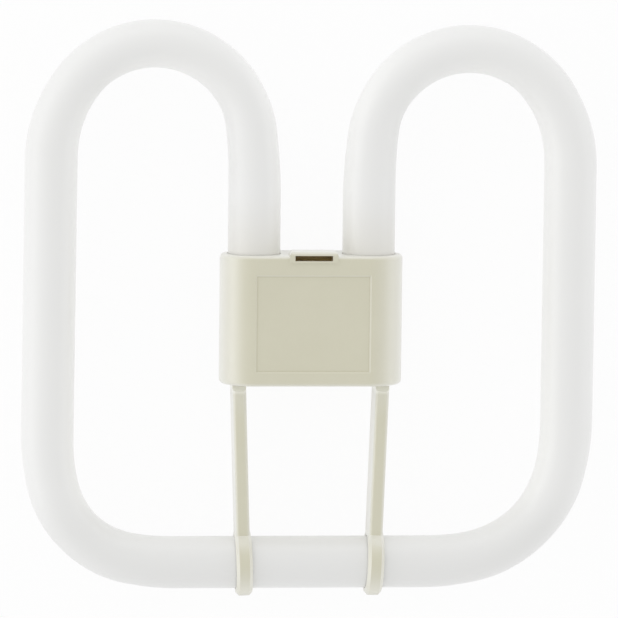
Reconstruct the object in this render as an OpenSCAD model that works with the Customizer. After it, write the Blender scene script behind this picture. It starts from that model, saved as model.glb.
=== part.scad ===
// Square compact fluorescent lamp: a glass tube bent into two tall loops, held by a
// moulded cap between its inner limbs and by two arms that clip on its bottom run.
// The lamp lies on its back. X runs across it, Y runs from the bottom run to the
// arches, and Z comes out of its front. The origin is the middle of the four contact
// pins, on the floor of the plug well.

/* [Glass tube] */
// Outside diameter of the tube
tube_d = 18.7; // [17.5:0.1:19.5]
// Distance between the axes of the two inner limbs
inner_pitch = 41; // [39:0.5:44]
// Distance between the axes of the two outer limbs, at the foot of the arches
outer_pitch = 185.6; // [178:0.2:196]
// Height of the left arch's axis above the middle of the cap
left_top = 97.8; // [92:0.1:104]
// Height of the right arch's axis above the middle of the cap
right_top = 96.5; // [92:0.1:104]
// Drop of the bottom run's axis below the middle of the cap
bottom_drop = 88.2; // [82:0.1:94]
// How much narrower the tube is over the crown of an arch
crown_thinning = 1.65; // [0:0.05:2]
// How much narrower the tube is round a lower corner
corner_thinning = 1.1; // [0:0.05:2]
// Room in the cap below the tips of the pinch seals, down to the cap's lower face
end_room = 10.6; // [10:0.1:13]
// Width of the flat pinch seal
pinch_w = 13; // [11:0.5:15]
// Thickness of the flat pinch seal
pinch_t = 3.6; // [2.5:0.1:5]
// Length of the flat pinch seal
pinch_len = 7; // [5:0.5:8]
// Length of the shoulder between the pinch seal and the round tube
pinch_shoulder = 7; // [5:0.5:8]

/* [Bends] */
// Radius of the easy bend from an inner limb into its arch
inner_ease_r = 200; // [160:5:240]
// Turn of the easy bend from an inner limb into its arch, in degrees
inner_ease_turn = 6.3; // [4:0.1:9]
// Radius of the easy bend from an arch into its outer limb
outer_ease_r = 47; // [42:0.5:60]
// Turn of the easy bend from an arch into its outer limb, in degrees
outer_ease_turn = 34; // [20:1:45]
// Outward lean of the left outer limb, in degrees
left_lean = 0.6; // [0:0.1:1.5]
// Outward lean of the right outer limb, in degrees
right_lean = 0; // [0:0.1:1.5]
// Radius of the lower left corner
left_corner_r = 34.8; // [30:0.2:44]
// Radius of the lower right corner
right_corner_r = 41.6; // [30:0.2:44]
// Radius of the easy bend from an outer limb into its corner
corner_entry_r = 76; // [60:1:90]
// Turn of the easy bend from an outer limb into its corner, in degrees
corner_entry_turn = 14; // [8:1:18]
// Radius of the easy bend from a corner into the bottom run
corner_exit_r = 86; // [70:1:100]
// Turn of the easy bend from a corner into the bottom run, in degrees
corner_exit_turn = 11; // [6:1:15]

/* [Cap] */
// Height of the cap, along the tube's inner limbs
cap_h = 46.6; // [45:0.2:50]
// Thickness of the cap outside the glass of the tube ends
cap_margin = 2.85; // [2.6:0.05:3.6]
// Wall of the cap
wall = 1.8; // [1.4:0.1:2]
// Thickness of the cap's top, where the tube ends go in
top_wall = 2.2; // [1.8:0.1:3]
// Rounding of the cap's upper and lower rims
rim_round = 1.5; // [0.6:0.1:1.7]
// Clearance between the glass and the plastic round it
glass_gap = 0.3; // [0.2:0.05:0.4]
// Width of the framed panel on the front
panel_w = 41.2; // [34:0.2:41.4]
// Height of the framed panel on the front
panel_h = 35; // [28:0.2:36]
// Drop of the panel's middle below the middle of the cap
panel_drop = 0.9; // [0:0.1:2]
// Depth of the framed panel
panel_depth = 0.45; // [0.2:0.05:0.8]
// Width of the sloping border of the framed panel
panel_slope = 0.6; // [0.3:0.05:0.9]

/* [Latch window] */
// Width of the window under the hood
window_w = 13.4; // [10:0.2:15]
// Height of the window under the hood
window_h = 1.9; // [1.4:0.1:2.4]
// How far the window's upper edge is above the cap's top
window_rise = 0.25; // [0:0.05:0.5]
// Depth of the pocket behind the window
window_depth = 6; // [5:0.5:7]
// Thickness of the hood at the window's ends
hood_side = 1.9; // [1.4:0.1:2.4]
// Height of the hood above the cap's top
hood_rise = 1.7; // [1.2:0.1:2.2]
// Lip of the hood below the window
hood_lip = 0.7; // [0.5:0.1:1]
// How far the hood stands in front of the cap
hood_proud = 0.5; // [0.3:0.1:0.8]
// Rounding of the hood's upper corners
hood_round = 1.6; // [1:0.1:1.8]

/* [Arms and clips] */
// Thickness of an arm, along the bottom run
arm_t = 4.9; // [4:0.1:6]
// Clearance between an arm's back and the plane of the rear cover's face
arm_back = 0.2; // [0.1:0.05:1]
// How far the arm's front lies in front of the tube's axis
arm_front = 6; // [5:0.2:7]
// Distance of each arm's middle from the lamp's middle, at the cap
arm_offset = 25.7; // [24:0.1:27]
// Inward lean of each arm, in degrees
arm_lean = 1.9; // [0:0.1:2.5]
// Length of the sloping step where an arm leaves the cap
arm_step = 2.4; // [1.5:0.1:3]
// Rounding of an arm's long edges
arm_round = 1.3; // [0.4:0.1:1.8]
// Thickness of a clip, along the bottom run
clip_t = 5.8; // [4.6:0.1:7]
// Wall of the clip round the tube
clip_wall = 2.4; // [2:0.1:3]
// Opening of the clip at its back, in degrees
clip_gap = 100; // [90:1:110]
// Chamfer of the clip's outer edges
clip_chamfer = 1.1; // [0.3:0.1:1.4]

/* [Plug] */
// How much thicker the rear cover is than the cap's wall
cover_extra = 0.2; // [0:0.05:0.4]
// Width of the plug skirt
skirt_w = 38; // [34:0.5:40]
// Height of the plug skirt
skirt_h = 30; // [26:0.5:34]
// Length of the plug skirt behind the cap
skirt_len = 8; // [6:0.5:10]
// Wall of the plug skirt
skirt_wall = 2; // [1.6:0.1:2.4]
// Corner radius of the plug skirt
skirt_round = 3; // [2.6:0.1:4]
// Depth of the well's floor below the cap's back
well_recess = 1; // [0.6:0.1:1.2]
// Diameter of a contact pin
pin_d = 2.35; // [2:0.05:2.6]
// How much thinner a pin's shank is, on each side, where it goes through the cover
pin_shoulder = 0.25; // [0.15:0.05:0.35]
// Distance between the pins across the lamp
pin_pitch_x = 10; // [9:0.1:11]
// Distance between the pins along the lamp
pin_pitch_y = 10; // [9:0.1:11]
// How far the pins stay inside the skirt's rim
pin_inset = 2; // [1:0.5:3]
// Side of the square pad that holds the pins
pad_w = 17; // [15:0.5:17.5]
// Thickness of the pad inside the cover
pad_t = 3; // [2.5:0.1:3.2]
// Clearance round the pins and the cover's tongues
fit_gap = 0.1; // [0.05:0.05:0.15]

/* [Wires and cement] */
// Diameter of a lead wire
wire_d = 0.8; // [0.6:0.1:1]
// Inside radius of a wire's bends, measured to its middle
wire_bend_r = 1.2; // [1:0.1:1.3]
// Distance between the two wires of one tube end
wire_pitch = 6; // [5:0.5:8]
// Length of the cement collar below the cap's top
cement_len = 9; // [6:0.5:11]

/* [Hidden] */

glass_white = [0.93, 0.94, 0.94];
shell_cream = [0.84, 0.82, 0.72];
cover_cream = [0.86, 0.85, 0.77];
pin_brass = [0.78, 0.66, 0.36];
wire_tin = [0.72, 0.72, 0.70];
cement_grey = [0.78, 0.76, 0.70];

round_fn = 72;
tube_sides = 32;
// How far a cutting shape runs past the faces it opens
over = 1;
tube_r = tube_d / 2;
hole_r = tube_r + glass_gap;
cap_r = tube_r + cap_margin;
cap_depth = 2 * cap_r;
cavity_r = cap_r - wall;
cover_t = wall + cover_extra;
top_y = cap_h / 2;
axis_z = cap_r - well_recess;
back_z = axis_z - cap_r;
front_z = axis_z + cap_r;
cover_z = back_z + cover_t;
rim_z = back_z - skirt_len;
tube_end_y = -top_y + end_room;

// Steps along a loop: a point is [x, y, heading, slimming], for the right-hand loop, with
// the heading counted from straight up and turning clockwise.
crown_steps = 3;
mid_steps = 12;
ease_steps = 3;
corner_steps = 4;
seal_steps = 5;
crown_share = 0.14;
ease_slimming = 0.45;
outer_slimming = 0.7;
crown_slim = crown_thinning / tube_d;
corner_slim = corner_thinning / tube_d;

// Sideways and upward travel along an arc between two headings
function arc_x(r, from, to) = r * (cos(from) - cos(to));
function arc_y(r, from, to) = r * (sin(to) - sin(from));

// Points of one stretch, an arc where r is above 0 and otherwise a straight of that length
function stretch_points(x, y, h, s) =
    let (r = s[0], turn = s[1], n = s[2], slim_a = s[3], slim_b = s[4])
    [for (k = [1:n])
        let (f = k / n, slim = slim_a + (slim_b - slim_a) * f)
        r > 0
            ? [x + arc_x(r, h, h + turn * f), y + arc_y(r, h, h + turn * f), h + turn * f, slim]
            : [x + turn * f * sin(h), y + turn * f * cos(h), h, slim]];

// Every point along the stretches, one after the other
function route(stretches, start, i = 0) =
    i == len(stretches) ? [] :
    let (pts = stretch_points(start[0], start[1], start[2], stretches[i]))
    concat(pts, route(stretches, pts[len(pts) - 1], i + 1));

function crown_r(turned) =
    let (a = inner_ease_turn, b = turned - outer_ease_turn, span = (outer_pitch - inner_pitch) / 2)
    (span - arc_x(inner_ease_r, 0, a) - arc_x(outer_ease_r, b, turned)) / (cos(a) - cos(b));

// Points of one loop, from the foot of its inner limb round to the middle of the bottom run
function loop_points(top, lean, corner_r) =
    let (turned = 180 - lean,
        a = inner_ease_turn,
        b = turned - outer_ease_turn,
        c = turned + corner_entry_turn,
        d = 270 - corner_exit_turn,
        r = crown_r(turned),
        rise = arc_y(inner_ease_r, 0, a) + r * (1 - sin(a)),
        start_y = tube_end_y + pinch_len + pinch_shoulder,
        foot_y = top - rise + arc_y(inner_ease_r, 0, a) + arc_y(r, a, b)
            + arc_y(outer_ease_r, b, turned),
        corner_x = arc_x(corner_entry_r, turned, c) + arc_x(corner_r, c, d)
            + arc_x(corner_exit_r, d, 270),
        corner_y = arc_y(corner_entry_r, turned, c) + arc_y(corner_r, c, d)
            + arc_y(corner_exit_r, d, 270),
        limb = (foot_y + corner_y + bottom_drop) / cos(lean),
        end_x = outer_pitch / 2 + limb * sin(lean) + corner_x,
        crown_turn = b - a,
        start = [inner_pitch / 2, start_y, 0, 0])
    concat([start], route([
        [0, top - rise - start_y, 1, 0, 0],
        [inner_ease_r, a, ease_steps, 0, ease_slimming * crown_slim],
        [r, crown_turn * crown_share, crown_steps, ease_slimming * crown_slim, crown_slim],
        [r, crown_turn * (1 - 2 * crown_share), mid_steps, crown_slim, crown_slim],
        [r, crown_turn * crown_share, crown_steps, crown_slim, outer_slimming * crown_slim],
        [outer_ease_r, outer_ease_turn, ease_steps + 1, outer_slimming * crown_slim, 0],
        [0, limb, 1, 0, 0],
        [corner_entry_r, corner_entry_turn, ease_steps, 0, ease_slimming * corner_slim],
        [corner_r, (d - c) / 2, corner_steps, ease_slimming * corner_slim, corner_slim],
        [corner_r, (d - c) / 2, corner_steps, corner_slim, ease_slimming * corner_slim],
        [corner_exit_r, corner_exit_turn, ease_steps, ease_slimming * corner_slim, 0],
        [0, end_x, 1, 0, 0]], start));

// Points of the pinch seal and its shoulder, from the tip up to the round tube, as
// [x, y, heading, slimming, flatness], where flatness runs from 1 at the seal to 0
function seal_points() =
    let (x = inner_pitch / 2)
    concat([[x, tube_end_y, 0, 0, 1], [x, tube_end_y + pinch_len, 0, 0, 1]],
        [for (k = [1:seal_steps - 1])
            let (f = k / seal_steps)
            [x, tube_end_y + pinch_len + pinch_shoulder * f, 0, 0, (1 + cos(180 * f)) / 2]]);

// Half width and half thickness of the tube's section at a point
function half_w(p) =
    let (flat = len(p) > 4 ? p[4] : 0)
    tube_r * (1 - p[3]) * (1 - flat) + pinch_w / 2 * flat;
function half_t(p) =
    let (flat = len(p) > 4 ? p[4] : 0)
    tube_r * (1 - flat) + pinch_t / 2 * flat;

// One ring of the tube round a point; side is 1 for the right-hand loop and -1 for the left
function ring(p, side) =
    [for (k = [0:tube_sides - 1])
        let (a = 360 * k / tube_sides, w = half_w(p) * cos(a))
        [side * (p[0] - w * cos(p[2])), p[1] + w * sin(p[2]), axis_z + half_t(p) * sin(a)]];

function reversed(list) = [for (i = [len(list) - 1:-1:0]) list[i]];

// The whole tube, skinned over its rings
module glass_body() {
    right = concat(seal_points(), loop_points(right_top, right_lean, right_corner_r));
    left = concat(seal_points(), loop_points(left_top, left_lean, left_corner_r));
    rings = concat([for (p = right) ring(p, 1)],
        [for (i = [len(left) - 2:-1:0]) ring(left[i], -1)]);
    n = tube_sides;
    count = len(rings);
    points = [for (r = rings) for (q = r) q];
    skin = [for (j = [0:count - 2]) for (k = [0:n - 1])
        let (a = j * n + k, b = j * n + (k + 1) % n, c = b + n, d = a + n)
        each [[a, b, c], [a, c, d]]];
    near_end = [reversed([for (k = [0:n - 1]) k])];
    far_end = [[for (k = [0:n - 1]) (count - 1) * n + k]];
    polyhedron(points, concat(skin, near_end, far_end), convexity = 10);
}

module discharge_tube() {
    color(glass_white) glass_body();
}

// Turns a shape drawn upwards along Z so that it runs along Y
module along_y() {
    rotate([-90, 0, 0]) children();
}

// Half section of a round block with rounded rims
module rimmed_half(r, h, edge) {
    square([r - edge, h]);
    translate([0, edge]) square([r, h - 2 * edge]);
    for (y = [edge, h - edge]) translate([r - edge, y]) circle(edge, $fn = round_fn);
}

// Full section of a slab with rounded rims
module rimmed_slab(half, h, edge) {
    translate([-half + edge, 0]) square([2 * (half - edge), h]);
    translate([-half, edge]) square([2 * half, h - 2 * edge]);
    for (x = [-half + edge, half - edge], y = [edge, h - edge])
        translate([x, y]) circle(edge, $fn = round_fn);
}

// The cap's outer form: a slab with half-round ends that follow the two inner limbs
module cap_block() {
    translate([0, -top_y, axis_z]) along_y() {
        for (s = [0, 1]) mirror([s, 0, 0]) translate([inner_pitch / 2, 0, 0]) rotate([0, 0, -90])
            rotate_extrude(angle = 180, $fn = round_fn) intersection() {
                rimmed_half(cap_r, cap_h, rim_round);
                square([2 * cap_r, cap_h]);
            }
        translate([-inner_pitch / 2, 0, 0]) rotate([90, 0, 90]) linear_extrude(inner_pitch)
            rimmed_slab(cap_r, cap_h, rim_round);
    }
}

// A slab with half-round ends, without rounded rims
module oblong(r, h) {
    linear_extrude(h) {
        translate([-inner_pitch / 2, -r]) square([inner_pitch, 2 * r]);
        for (x = [-inner_pitch / 2, inner_pitch / 2]) translate([x, 0]) circle(r, $fn = round_fn);
    }
}

module cap_cavity() {
    translate([0, -top_y + wall, axis_z]) along_y() oblong(cavity_r, cap_h - wall - top_wall);
}

module tube_holes() {
    for (x = [-inner_pitch / 2, inner_pitch / 2])
        translate([x, 0, axis_z]) along_y() cylinder(r = hole_r, h = top_y + over, $fn = round_fn);
}

// Rectangle with round corners
module round_rect(w, h, r) {
    translate([-w / 2 + r, -h / 2]) square([w - 2 * r, h]);
    translate([-w / 2, -h / 2 + r]) square([w, h - 2 * r]);
    for (x = [-w / 2 + r, w / 2 - r], y = [-h / 2 + r, h / 2 - r])
        translate([x, y]) circle(r, $fn = round_fn);
}

hood_w = window_w + 2 * hood_side;
hood_h = window_h + hood_lip + hood_rise - window_rise;
window_low = top_y + window_rise - window_h;
hood_depth = window_depth + hood_proud + wall;

// The hood over the latch window, rounded at its upper corners and its front edge
module hood() {
    drop = window_low - hood_lip;
    intersection() {
        translate([0, drop + hood_h / 2, front_z + hood_proud - hood_depth])
            linear_extrude(hood_depth) union() {
                round_rect(hood_w, hood_h, hood_round);
                translate([-hood_w / 2, -hood_h / 2]) square([hood_w, hood_round]);
            }
        translate([-hood_w / 2, 0, 0]) rotate([90, 0, 90]) linear_extrude(hood_w)
            hood_side_view(drop);
    }
}

// Side view of the hood, with its top front edge rounded over
module hood_side_view(drop) {
    high = drop + hood_h;
    near = front_z + hood_proud;
    translate([drop, near - hood_depth]) square([hood_h - hood_round, hood_depth]);
    translate([drop, near - hood_depth]) square([hood_h, hood_depth - hood_round]);
    translate([high - hood_round, near - hood_round]) circle(hood_round, $fn = round_fn);
}

// The window, its pocket under the hood, and the pocket's way down into the cap
module window_cut() {
    translate([-window_w / 2, window_low, front_z - window_depth])
        cube([window_w, window_h, window_depth + 2 * hood_proud]);
    translate([-window_w / 2, top_y - top_wall - over, front_z - window_depth])
        cube([window_w, top_wall + over, window_depth - wall]);
}

// Section of the framed panel's recess, with its border sloping down to its floor
module panel_section(w) {
    polygon([[-w / 2, 0], [-w / 2 + panel_slope, -panel_depth], [w / 2 - panel_slope, -panel_depth],
        [w / 2, 0], [w / 2, over], [-w / 2, over]]);
}

module panel_cut() {
    translate([0, -panel_drop, front_z]) intersection() {
        translate([0, panel_h / 2, 0]) rotate([90, 0, 0]) linear_extrude(panel_h)
            panel_section(panel_w);
        translate([-panel_w / 2, 0, 0]) rotate([90, 0, 90]) linear_extrude(panel_w)
            panel_section(panel_h);
    }
}

clip_r = hole_r + clip_wall;
arm_depth = arm_front + cap_r - cover_t - arm_back;
arm_len = bottom_drop - top_y;

// Section of the clip's ring, with its outer edges chamfered
module clip_section() {
    half = clip_t / 2;
    polygon([[hole_r, -half], [clip_r - clip_chamfer, -half], [clip_r, -half + clip_chamfer],
        [clip_r, half - clip_chamfer], [clip_r - clip_chamfer, half], [hole_r, half]]);
}

// One arm with its clip, drawn from the middle of the bottom run upwards
module arm_and_clip() {
    saddle = hole_r / 2;
    rise = arm_len + wall - saddle;
    difference() {
        union() {
            difference() {
                translate([0, saddle, arm_front - arm_depth / 2]) along_y() linear_extrude(rise)
                    round_rect(arm_t, arm_depth, arm_round);
                rotate([0, 90, 0]) translate([0, 0, -arm_t]) cylinder(r = hole_r + clip_wall / 2,
                    h = 2 * arm_t, $fn = round_fn);
            }
            rotate([0, -90, 0]) rotate([0, 0, -180 + clip_gap / 2])
                rotate_extrude(angle = 360 - clip_gap, $fn = round_fn) clip_section();
        }
        translate([-arm_t, arm_len - arm_step, arm_front]) rotate([-45, 0, 0])
            cube([2 * arm_t, 2 * arm_step, 2 * arm_step]);
    }
}

// Both arms, cut off flush inside the cap's lower wall
module arms() {
    intersection() {
        for (s = [0, 1]) mirror([s, 0, 0])
            translate([arm_offset - arm_len * tan(arm_lean), -bottom_drop, axis_z])
                rotate([0, 0, -arm_lean]) arm_and_clip();
        translate([-outer_pitch / 2, -bottom_drop - 2 * tube_d, axis_z - 2 * tube_d])
            cube([outer_pitch, bottom_drop - top_y + wall / 2 + 2 * tube_d, 4 * tube_d]);
    }
}

// The cap's front moulding, with the hood, the panel and the two arms
module front_shell() {
    color(shell_cream) difference() {
        union() {
            intersection() {
                cap_block();
                translate([-inner_pitch, -cap_h, cover_z])
                    cube([2 * inner_pitch, 2 * cap_h, cap_depth]);
            }
            hood();
            arms();
        }
        cap_cavity();
        tube_holes();
        window_cut();
        panel_cut();
    }
}

tongue_side_gap = 1.5;
tongue_w = inner_pitch - 2 * hole_r - 2 * tongue_side_gap;
tongue_t = 1.4;
tongue_h = 2.5;

// The rear cover: the cap's back, with the plug skirt outside and the pin pad inside
module rear_cover() {
    color(cover_cream) difference() {
        union() {
            intersection() {
                cap_block();
                translate([-inner_pitch, -cap_h, back_z - over])
                    cube([2 * inner_pitch, 2 * cap_h, cover_t + over]);
            }
            translate([0, 0, rim_z]) linear_extrude(skirt_len + cover_t / 2)
                round_rect(skirt_w, skirt_h, skirt_round);
            translate([-pad_w / 2, -pad_w / 2, back_z + cover_t / 2])
                cube([pad_w, pad_w, cover_t / 2 + pad_t]);
            cover_tongues();
        }
        translate([0, 0, rim_z - over]) linear_extrude(over + skirt_len + well_recess)
            round_rect(skirt_w - 2 * skirt_wall, skirt_h - 2 * skirt_wall, skirt_round - skirt_wall / 2);
        pin_places() translate([0, 0, -over])
            cylinder(r = shank_r + fit_gap, h = cap_depth / 2, $fn = round_fn);
    }
}

// Tongues that centre the cover between the cap's upper and lower walls
module cover_tongues() {
    high = top_y - top_wall - fit_gap;
    low = -top_y + wall + fit_gap;
    for (y = [high - tongue_t, low])
        translate([-tongue_w / 2, y, cover_z - cover_t / 2])
            cube([tongue_w, tongue_t, cover_t / 2 + tongue_h]);
}

module pin_places() {
    for (x = [-1, 1], y = [-1, 1])
        translate([x * pin_pitch_x / 2, y * pin_pitch_y / 2, 0]) children();
}

shank_r = pin_d / 2 - pin_shoulder;
pad_top = cover_z + pad_t;
pin_flange_t = 1;
pin_flange_r = 0.75 * pin_d;
pin_tip = 0.5;
pin_tail = 1.5;
pin_top = pad_top + pin_flange_t + pin_tail;

// One contact pin: it stands on the well's floor, its shank goes through the cover, and
// its rivet head lies on the pad, with a tail for the wire
module contact_pin(x, y) {
    r = pin_d / 2;
    tip_z = rim_z + pin_inset;
    color(pin_brass) translate([x * pin_pitch_x / 2, y * pin_pitch_y / 2, 0]) {
        translate([0, 0, tip_z]) cylinder(r1 = r - pin_tip, r2 = r, h = pin_tip, $fn = round_fn);
        translate([0, 0, tip_z + pin_tip])
            cylinder(r = r, h = -tip_z - pin_tip, $fn = round_fn);
        cylinder(r = shank_r, h = pad_top, $fn = round_fn);
        translate([0, 0, pad_top]) cylinder(r = pin_flange_r, h = pin_flange_t, $fn = round_fn);
        translate([0, 0, pad_top + pin_flange_t])
            cylinder(r = wire_d, h = pin_tail, $fn = round_fn);
    }
}

// A straight piece of wire, with what follows at its far end
module wire_run(length) {
    cylinder(r = wire_d / 2, h = length, $fn = round_fn / 2);
    translate([0, 0, length]) children();
}

// A quarter bend towards the given side, with what follows at its far end
module wire_bend(side) {
    rotate([0, 0, side]) {
        translate([wire_bend_r, 0, 0]) mirror([1, 0, 0]) rotate([90, 0, 0])
            rotate_extrude(angle = 90, $fn = round_fn) translate([wire_bend_r, 0])
                circle(wire_d / 2, $fn = round_fn / 2);
        translate([wire_bend_r, 0, wire_bend_r]) rotate([0, 90, 0]) children();
    }
}

wire_row = 2.6;
wire_step = 2.4;
wire_column = 3;
wire_drop = axis_z - pin_top - wire_bend_r;
column_x = pin_pitch_x / 2 - wire_column;

// The wire from a tube end's outer lead, under the inner wire and up the cap's middle, to
// the upper pin
module outer_wire() {
    x = inner_pitch / 2 + wire_pitch / 2;
    row_y = tube_end_y - wire_row - wire_step;
    b = wire_bend_r;
    translate([x, tube_end_y, axis_z]) rotate([90, 0, 0])
        wire_run(wire_row + wire_step - b) wire_bend(180) wire_run(x - column_x - 2 * b)
        wire_bend(0) wire_run(pin_pitch_y / 2 - row_y - 2 * b) wire_bend(0)
        wire_run(pin_pitch_x / 2 - column_x - 2 * b) wire_bend(90) wire_run(wire_drop);
}

// The wire from a tube end's inner lead to the lower pin
module inner_wire() {
    x = inner_pitch / 2 - wire_pitch / 2;
    row_y = tube_end_y - wire_row;
    b = wire_bend_r;
    translate([x, tube_end_y, axis_z]) rotate([90, 0, 0])
        wire_run(wire_row - b) wire_bend(180) wire_run(x - pin_pitch_x / 2 - 2 * b)
        wire_bend(0) wire_run(-pin_pitch_y / 2 - row_y - 2 * b) wire_bend(90) wire_run(wire_drop);
}

module lead_wire(left, outer) {
    color(wire_tin) mirror([left, 0, 0]) {
        if (outer) outer_wire();
        if (!outer) inner_wire();
    }
}

// The cement collar round a tube end, under the cap's top
module end_cement(side) {
    outer_r = min(cavity_r, cap_r - cover_t) - fit_gap;
    color(cement_grey) translate([side * inner_pitch / 2, top_y - top_wall - cement_len, axis_z])
        along_y() difference() {
            cylinder(r = outer_r, h = cement_len, $fn = round_fn);
            translate([0, 0, -over])
                cylinder(r = tube_r + fit_gap, h = cement_len + 2 * over, $fn = round_fn);
        }
}

discharge_tube();
front_shell();
rear_cover();
contact_pin(-1, 1);  // contact_pin_1
contact_pin(1, 1);  // contact_pin_2
contact_pin(-1, -1);  // contact_pin_3
contact_pin(1, -1);  // contact_pin_4
lead_wire(1, false);  // lead_wire_1
lead_wire(0, false);  // lead_wire_2
lead_wire(1, true);  // lead_wire_3
lead_wire(0, true);  // lead_wire_4
end_cement(-1);  // end_cement_left
end_cement(1);  // end_cement_right
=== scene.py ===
"""Looks of a square compact fluorescent lamp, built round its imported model.

The lamp lies on its plug skirt and the camera looks down on its front, so +X runs across
the picture, +Y runs up it and +Z points at the camera. Sizes inside the classes are in
millimetres, and become metres where a mesh or a node takes them.
"""

from __future__ import annotations

import logging
import math
from collections.abc import Iterable, Sequence
from dataclasses import dataclass, field
from enum import Enum

import bmesh
import bpy
from mathutils import Matrix, Vector


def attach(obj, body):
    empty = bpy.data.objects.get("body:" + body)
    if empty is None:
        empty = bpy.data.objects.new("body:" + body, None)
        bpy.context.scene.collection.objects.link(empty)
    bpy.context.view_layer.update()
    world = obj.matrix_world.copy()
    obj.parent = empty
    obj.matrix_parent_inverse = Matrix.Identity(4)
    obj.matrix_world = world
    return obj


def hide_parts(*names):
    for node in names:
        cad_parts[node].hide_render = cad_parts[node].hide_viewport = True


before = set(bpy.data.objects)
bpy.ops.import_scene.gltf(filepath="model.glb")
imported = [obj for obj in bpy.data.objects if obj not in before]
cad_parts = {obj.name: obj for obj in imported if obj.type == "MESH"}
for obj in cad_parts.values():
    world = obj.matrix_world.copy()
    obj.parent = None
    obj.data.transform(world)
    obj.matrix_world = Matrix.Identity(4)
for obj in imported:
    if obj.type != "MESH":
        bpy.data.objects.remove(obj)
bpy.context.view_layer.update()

MM = 0.001
BODY = "root"
LOG = logging.getLogger("lamp")

Colour = tuple[float, float, float]
Place = tuple[float, float, float]
Pair = tuple[float, float]
Feeds = dict[str | int, object]
Material = bpy.types.Material
Mesh = bpy.types.Mesh
Node = bpy.types.Node
Object = bpy.types.Object
Socket = bpy.types.NodeSocket
Tree = bpy.types.NodeTree

WHITE = (1.0, 1.0, 1.0, 1.0)
# Refraction of glass and of the cap's plastic.
BODY_IOR = 1.5
# Half depth, in millimetres, of a box that takes in the whole lamp.
WHOLE_DEPTH = 100.0


class Slot(Enum):
    """Material slots of the record."""

    GLASS = "coated_glass"
    PLASTIC = "cap_plastic"
    BRASS = "pin_brass"
    WIRE = "tinned_wire"
    CEMENT = "capping_cement"


# Node trees


class NodeSheet:
    """Adds nodes to one tree, sets them and joins them."""

    def __init__(self, tree: Tree) -> None:
        """Args:
        tree: The node tree to write in.
        """
        self.tree = tree

    def add(self, kind: str, feeds: Feeds | None = None, **settings: object) -> Node:
        """Makes one node.

        Args:
            kind: The node's type name.
            feeds: For each input, by name or place, a value or a socket to join it to.
            **settings: Properties of the node.

        Returns:
            The new node.
        """
        node = self.tree.nodes.new(kind)
        for name, value in settings.items():
            setattr(node, name, value)
        for socket, value in (feeds or {}).items():
            self.feed(node.inputs[socket], value)
        return node

    def feed(self, socket: Socket, value: object) -> None:
        """Joins a socket to another one, or sets its value.

        Args:
            socket: The input socket.
            value: An output socket, or a plain value.
        """
        if isinstance(value, Socket):
            self.tree.links.new(value, socket)
        else:
            socket.default_value = value

    def math(self, operation: str, *values: object, clamp: bool = False) -> Socket:
        """Makes a Math node.

        Args:
            operation: What the node does.
            *values: A value or socket for each of its inputs, in order.
            clamp: Whether the result is kept between 0 and 1.

        Returns:
            The node's result socket.
        """
        feeds = dict(enumerate(values))
        return self.add("ShaderNodeMath", feeds, operation=operation, use_clamp=clamp).outputs[0]

    def vector(self, operation: str, *values: object) -> Socket:
        """Makes a Vector Math node and returns its vector socket."""
        feeds = dict(enumerate(values))
        return self.add("ShaderNodeVectorMath", feeds, operation=operation).outputs[0]

    def split(self, vector: Socket) -> tuple[Socket, ...]:
        """Splits a vector and returns its X, Y and Z sockets."""
        return tuple(self.add("ShaderNodeSeparateXYZ", {"Vector": vector}).outputs)

    def largest(self, first: Socket, *others: Socket) -> Socket:
        """Makes Math nodes that pick the largest value and returns the last one's socket."""
        for other in others:
            first = self.math("MAXIMUM", first, other)
        return first

    def blend(self, factor: object, first: object, second: Colour) -> Socket:
        """Mixes two colours.

        Args:
            factor: Share of the second colour.
            first: Colour or socket at factor 0.
            second: Colour at factor 1.

        Returns:
            The mixed colour's socket.
        """
        node = self.add("ShaderNodeMix", {0: factor}, data_type="RGBA")
        for place, value in ((6, first), (7, second)):
            self.feed(node.inputs[place], (*value, 1.0) if isinstance(value, tuple) else value)
        return node.outputs[2]

    def ramp(
        self,
        value: Socket,
        ends: Pair,
        result: Pair = (0.0, 1.0),
        unit: float = 1.0,
        smooth: bool = False,
    ) -> Socket:
        """Goes from one result to another while a value runs over a range.

        Args:
            value: The value's socket.
            ends: The range's ends.
            result: The results at the two ends, kept beyond them.
            unit: Size of the unit in which the ends are given.
            smooth: Whether the change eases in and out.

        Returns:
            The result's socket.
        """
        feeds = {
            "Value": value,
            "From Min": ends[0] * unit,
            "From Max": ends[1] * unit,
            "To Min": result[0],
            "To Max": result[1],
        }
        kind = "SMOOTHSTEP" if smooth else "LINEAR"
        return self.add("ShaderNodeMapRange", feeds, interpolation_type=kind).outputs["Result"]

    def ease(self, length: Socket, ends: Pair, result: Pair) -> Socket:
        """Eases between two results over a stretch with its ends in millimetres."""
        return self.ramp(length, ends, result, MM, smooth=True)

    def noise(self, vector: Socket, scale: Socket, detail: float, rough: float = 0.5) -> Socket:
        """Makes a noise texture and returns its value socket."""
        feeds = {"Vector": vector, "Scale": scale, "Detail": detail, "Roughness": rough}
        return self.add("ShaderNodeTexNoise", feeds).outputs["Fac"]


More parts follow.
